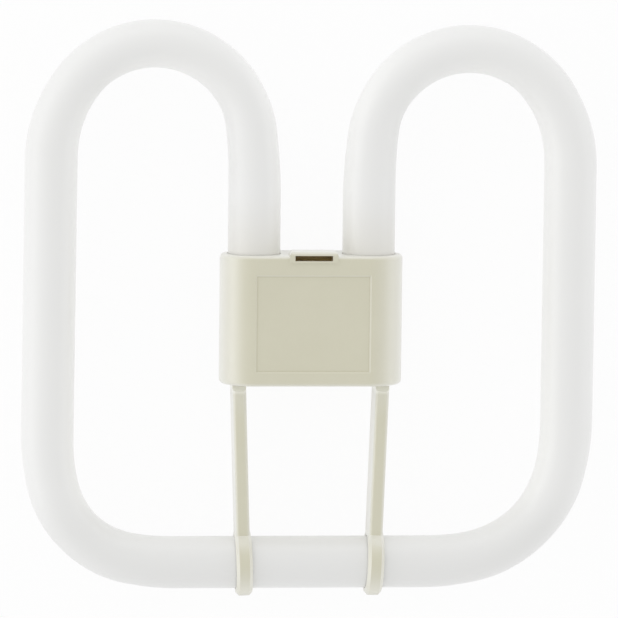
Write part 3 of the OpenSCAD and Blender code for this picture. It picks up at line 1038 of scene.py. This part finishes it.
        out = sheet.vector("SUBTRACT", sheet.add("GeometryNodeInputPosition").outputs[0], axis)
        out = sheet.vector("MULTIPLY", out, scale.outputs["Vector"])
        run = capture.outputs["Along"]
        to_end = sheet.math("MINIMUM", run, sheet.math("SUBTRACT", length, run))
        steps = {
            "SetPosition": {"Position": sheet.vector("ADD", axis, out)},
            "StoreNamedAttribute": {"Name": "to_end", "Value": to_end},
            "SetShadeSmooth": {},
            "RealizeInstances": {},
            "SetMaterial": {"Material": given["Glass"]},
        }
        return sheet.give({"Geometry": sheet.through(tube.outputs["Mesh"], steps)})

    def build(self, groups: SurfaceGroups) -> None:
        """Makes the tube."""
        values = {
            "Tube Radius": self.diameter / 2 * MM,
            "Seal Half Width": self.pinch[0] / 2 * MM,
            "Seal Half Thickness": self.pinch[1] / 2 * MM,
            "Sides": self.sides,
            "Glass": self.finish.material(groups),
        }
        tube = grown(self._path(), self._sweep(), values, "glass_tube")
        face_out(tube.data)
        finish_piece(tube, ["discharge_tube"])


@dataclass
class CapMouldings(Assembly):
    """The cap's front moulding with its arms, and its rear cover with the plug skirt.

    Vertices up to weld apart are joined, faces within flat_angle count as one, and edges
    from sharp_angle are rounded by edge_width. Angles are in degrees.
    """

    weld: float = 0.002
    flat_angle: float = 0.5
    edge_width: float = 0.16
    segments: int = 2
    sharp_angle: float = 32.0
    face_weight: int = 100
    finish: MouldedPlastic = field(default_factory=MouldedPlastic)

    def _softened(self, node: str, name: str) -> Object:
        """Copies a CAD node, by name, with its sharp edges slightly rounded."""
        bm = bmesh.new()
        bm.from_mesh(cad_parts[node].data)
        bmesh.ops.remove_doubles(bm, verts=bm.verts, dist=self.weld * MM)
        flat, sharp = math.radians(self.flat_angle), math.radians(self.sharp_angle)
        bmesh.ops.dissolve_limit(bm, angle_limit=flat, verts=bm.verts, edges=bm.edges)
        mesh = bpy.data.meshes.new(name)
        bm.to_mesh(mesh)
        bm.free()
        for layer in ("custom_normal", "sharp_face", "sharp_edge"):
            if layer in mesh.attributes:
                mesh.attributes.remove(mesh.attributes[layer])
        copy = link(name + "_raw", mesh)
        bevel = copy.modifiers.new("edges", "BEVEL")
        bevel.limit_method = "ANGLE"
        bevel.angle_limit = sharp
        bevel.width = self.edge_width * MM
        bevel.segments = self.segments
        bevel.use_clamp_overlap = True
        made = realised(copy, name + "_bevelled")
        made.data.shade_smooth()
        made.data.set_sharp_from_angle(angle=sharp)
        even = made.modifiers.new("normals", "WEIGHTED_NORMAL")
        even.weight = self.face_weight
        even.keep_sharp = True
        return realised(made, name)

    def build(self, groups: SurfaceGroups) -> None:
        """Makes both mouldings."""
        material = self.finish.material(groups)
        for node, name in (("front_shell", "cap_front"), ("rear_cover", "cap_rear")):
            piece = self._softened(node, name)
            wear(piece, material)
            finish_piece(piece, [node])


@dataclass
class ContactPins(Assembly):
    """Four turned pins, set out on a grid in the plug's well.

    The shank is thinner by shoulder. The tip's points are insets from the side and rises
    from the tip, and soft is the bevel on flange and tail, which have a radius and a
    thickness each.
    """

    grid: tuple[int, int] = (2, 2)
    pitch: Pair = (10.0, 10.0)
    radius: float = 1.175
    shoulder: float = 0.25
    tip_z: float = -7.0
    tip_round: tuple[Pair, ...] = ((0.5, 0.0), (0.3, 0.06), (0.12, 0.22), (0.02, 0.5), (0.0, 0.8))
    seat_z: float = 4.0
    flange: Pair = (1.7625, 1.0)
    tail: Pair = (0.8, 1.5)
    soft: float = 0.12
    sides: int = 40
    sharp_angle: float = 50.0
    finish: TurnedMetal = TurnedMetal(
        "pin_brass", Slot.BRASS, (0.78, 0.6, 0.3), (0.6, 0.45, 0.22), (0.24, 0.38)
    )

    def _profile(self) -> list[Pair]:
        """Radius and height of the pin's outline, from its tip to its tail."""
        r, tip, soft = self.radius, self.tip_z, self.soft
        flange_r, flange_t = self.flange
        tail_r, tail_len = self.tail
        top = self.seat_z + flange_t
        return [
            (0.0, tip),
            *((r - inset, tip + rise) for inset, rise in self.tip_round),
            (r, 0.0),
            (r - self.shoulder, 0.0),
            (r - self.shoulder, self.seat_z),
            (flange_r - soft, self.seat_z),
            (flange_r, self.seat_z + soft),
            (flange_r, top - soft),
            (flange_r - soft, top),
            (tail_r, top),
            (tail_r, top + tail_len - soft),
            (tail_r - soft, top + tail_len),
            (0.0, top + tail_len),
        ]

    @staticmethod
    def _setting_out() -> Tree:
        """Geometry Nodes tree that sets copies of a pin out on a grid."""
        sheet = GroupSheet(
            "pin_grid",
            "GeometryNodeTree",
            {
                "Pin": GEOMETRY,
                "Pitch Across": FLOAT,
                "Pitch Along": FLOAT,
                "Columns": INTEGER,
                "Rows": INTEGER,
                "Metal": MATERIAL,
            },
            {"Geometry": GEOMETRY},
        )
        given = sheet.given
        width, height = (
            sheet.math("MULTIPLY", given[pitch], sheet.math("SUBTRACT", given[count], 1.0))
            for pitch, count in (("Pitch Across", "Columns"), ("Pitch Along", "Rows"))
        )
        sizes = {"Size X": width, "Size Y": height}
        counts = {"Vertices X": given["Columns"], "Vertices Y": given["Rows"]}
        grid = sheet.add("GeometryNodeMeshGrid", sizes | counts)
        feeds = {"Points": grid.outputs["Mesh"], "Instance": given["Pin"]}
        pins = sheet.add("GeometryNodeInstanceOnPoints", feeds).outputs[0]
        steps = {"RealizeInstances": {}, "SetMaterial": {"Material": given["Metal"]}}
        return sheet.give({"Geometry": sheet.through(pins, steps)})

    def build(self, groups: SurfaceGroups) -> None:
        """Makes the four pins as one piece."""
        mesh = lathe(self._profile(), self.sides)
        mesh.shade_smooth()
        mesh.set_sharp_from_angle(angle=math.radians(self.sharp_angle))
        values = {
            "Pitch Across": self.pitch[0] * MM,
            "Pitch Along": self.pitch[1] * MM,
            "Columns": self.grid[0],
            "Rows": self.grid[1],
            "Metal": self.finish.material(groups),
        }
        pins = grown(link("pin", mesh), self._setting_out(), values, "contact_pins")
        finish_piece(pins, [f"contact_pin_{k}" for k in range(1, 5)])


@dataclass
class HiddenParts(Assembly):
    """The lead wires and the capping cement inside the cap, as the CAD model has them."""

    wire: TurnedMetal = TurnedMetal(
        "tinned_wire", Slot.WIRE, (0.74, 0.74, 0.72), (0.56, 0.56, 0.54), (0.3, 0.45)
    )
    cement: FiredPaste = field(default_factory=FiredPaste)

    def build(self, groups: SurfaceGroups) -> None:
        """Gives each of these CAD nodes its material."""
        wires = [f"lead_wire_{k}" for k in range(1, 5)]
        collars = ["end_cement_left", "end_cement_right"]
        for finish, nodes in ((self.wire, wires), (self.cement, collars)):
            material = finish.material(groups)
            for node in nodes:
                wear(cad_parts[node], material)
                LOG.info("%s: wears %s", node, material.name)


# Studio


@dataclass(frozen=True)
class SoftBox:
    """A large soft lamp beside the table.

    Attributes:
        name: The lamp's name.
        place: Its middle, in metres.
        size: Its width and height, in metres.
        glow: Brightness of its face, where 1 is white.
        tint: Its colour.
    """

    name: str
    place: Place
    size: Pair
    glow: float
    tint: Colour = (1.0, 1.0, 1.0)

    def build(self, aim: Vector) -> None:
        """Makes the lamp.

        Args:
            aim: The point it faces.
        """
        data = bpy.data.lights.new(self.name, "AREA")
        data.shape = "RECTANGLE"
        data.size, data.size_y = self.size
        data.energy = self.glow * math.pi * self.size[0] * self.size[1]
        data.color = self.tint
        lamp = link(self.name, data)
        lamp.location = self.place
        lamp.rotation_euler = (aim - Vector(self.place)).to_track_quat("-Z", "Y").to_euler()


@dataclass
class Studio:
    """Floor, soft lamps and plain sky.

    Places are in metres. The floor is white by the share seen_white where it is seen, and
    the sky gains sky_plus towards +X, +Y and +Z and sky_minus towards the other three.
    """

    floor_z: float = -0.009
    floor_half: float = 4.0
    floor_tone: float = 0.93
    seen_white: float = 0.93
    sky: float = 0.91
    sky_plus: Place = (0.12, 0.15, -0.225)
    sky_minus: Place = (0.31, 0.0, 0.0)
    aim: Vector = field(default_factory=lambda: Vector((0.0, 0.0, 0.01)))
    lamps: tuple[SoftBox, ...] = (
        SoftBox("softbox_left", (-1.063, 0.0, 0.295), (1.2, 0.6), 0.245),
        SoftBox("softbox_high", (-0.817, 0.0, 0.746), (1.2, 0.3), 0.19),
        SoftBox("softbox_right", (1.063, 0.0, 0.295), (1.2, 0.6), 0.1),
        SoftBox("softbox_far", (0.0, 1.063, 0.295), (1.2, 0.6), 0.135),
    )

    @staticmethod
    def _blank(owner: Material | bpy.types.World) -> NodeSheet:
        """Empties the node tree of a new material or world and returns its sheet."""
        owner.use_nodes = True
        owner.node_tree.nodes.clear()
        return NodeSheet(owner.node_tree)

    def _floor(self) -> None:
        """A pale floor that shows white to the camera but keeps the lamp's shadow."""
        half, z = self.floor_half, self.floor_z
        mesh = bpy.data.meshes.new("floor")
        corners = [(-half, -half, z), (half, -half, z), (half, half, z), (-half, half, z)]
        mesh.from_pydata(corners, [], [(0, 1, 2, 3)])
        floor = link("floor", mesh)
        material = bpy.data.materials.new("pale_floor")
        sheet = self._blank(material)
        tone = self.floor_tone
        paper = sheet.add("ShaderNodeBsdfDiffuse", {"Color": (tone, tone, tone, 1.0)})
        white = sheet.add("ShaderNodeEmission", {"Color": WHITE, "Strength": 1.0})
        share = sheet.math("MULTIPLY", self._seen(sheet), self.seen_white)
        shaders = {0: share, 1: paper.outputs[0], 2: white.outputs[0]}
        mixed = sheet.add("ShaderNodeMixShader", shaders)
        sheet.add("ShaderNodeOutputMaterial", {"Surface": mixed.outputs[0]})
        mesh.materials.append(material)

    @staticmethod
    def _seen(sheet: NodeSheet) -> Socket:
        """1 for rays that show the background: straight ones, and those by gloss or glass."""
        path = sheet.add("ShaderNodeLightPath").outputs
        rays = ("Is Camera Ray", "Is Glossy Ray", "Is Transmission Ray")
        return sheet.largest(*(path[ray] for ray in rays))

    def _sky(self) -> None:
        """A plain soft sky, brighter near the floor, and white where the camera sees it."""
        world = bpy.data.worlds.new("studio")
        bpy.context.scene.world = world
        sheet = self._blank(world)
        straight = sheet.add("ShaderNodeLightPath").outputs["Is Camera Ray"]
        way = sheet.add("ShaderNodeTexCoord").outputs["Generated"]
        soft: Socket | float = self.sky
        for sign, share in ((1.0, self.sky_plus), (-1.0, self.sky_minus)):
            signed = sheet.vector("MULTIPLY", way, (sign, sign, sign))
            ahead = sheet.vector("MAXIMUM", signed, (0.0, 0.0, 0.0))
            feeds = {0: ahead, 1: share}
            slope = sheet.add("ShaderNodeVectorMath", feeds, operation="DOT_PRODUCT")
            soft = sheet.math("ADD", soft, slope.outputs["Value"])
        strength = sheet.add("ShaderNodeMix", {0: straight, 2: soft, 3: 1.0}).outputs[0]
        glow = sheet.add("ShaderNodeBackground", {"Color": WHITE, "Strength": strength})
        sheet.add("ShaderNodeOutputWorld", {"Surface": glow.outputs[0]})

    def build(self) -> None:
        """Sets the whole studio up."""
        scene = bpy.context.scene
        scene.view_settings.view_transform = "Standard"
        self._floor()
        self._sky()
        for lamp in self.lamps:
            lamp.build(self.aim)
        LOG.info("studio: %d soft lamps, floor at %.1f mm", len(self.lamps), self.floor_z / MM)


@dataclass(frozen=True)
class PhotoCamera:
    """The camera at the photograph's viewing angle.

    Attributes:
        yaw: How far it stands to the left of the lamp's middle, in degrees.
        pitch: How far it stands towards the arches, in degrees.
        roll: How far its picture is turned clockwise, in degrees.
        distance: Distance to the target, in millimetres.
        field: Field of view across the picture, in degrees.
        target: The point in the middle of the picture, in millimetres.
        sensor: Width of its sensor, in millimetres.
        clip: Nearest and farthest distance that it sees, in metres.
    """

    yaw: float = 4.94
    pitch: float = 6.38
    roll: float = 0.61
    distance: float = 1556.8
    field: float = 8.115
    target: Place = (-0.62, 3.26, 11.2)
    sensor: float = 36.0
    clip: Pair = (0.05, 50.0)

    def build(self) -> None:
        """Makes the camera and gives it to the scene."""
        yaw, pitch, roll = (math.radians(a) for a in (self.yaw, self.pitch, self.roll))
        back = Vector(
            (-math.sin(yaw) * math.cos(pitch), math.sin(pitch), math.cos(yaw) * math.cos(pitch))
        )
        right = (-back).cross(Vector((0.0, 1.0, 0.0))).normalized()
        up = back.cross(right)
        across = math.cos(roll) * right + math.sin(roll) * up
        upward = math.cos(roll) * up - math.sin(roll) * right
        data = bpy.data.cameras.new("photo_camera")
        data.sensor_width = self.sensor
        data.lens = self.sensor / 2 / math.tan(math.radians(self.field) / 2)
        data.clip_start, data.clip_end = self.clip
        camera = link("photo_camera", data)
        turn = Matrix((across, upward, back)).transposed().to_4x4()
        place = Vector(self.target) * MM + back * self.distance * MM
        camera.matrix_world = Matrix.Translation(place) @ turn
        bpy.context.scene.camera = camera


def main() -> None:
    """Builds the camera, the lamp's pieces and the studio in order."""
    logging.basicConfig(level=logging.INFO, format="%(name)s: %(message)s")
    PhotoCamera().build()
    groups = SurfaceGroups()
    for assembly in (DischargeTube(), CapMouldings(), ContactPins(), HiddenParts()):
        assembly.build(groups)
    Studio().build()


if __name__ == "__main__":
    main()
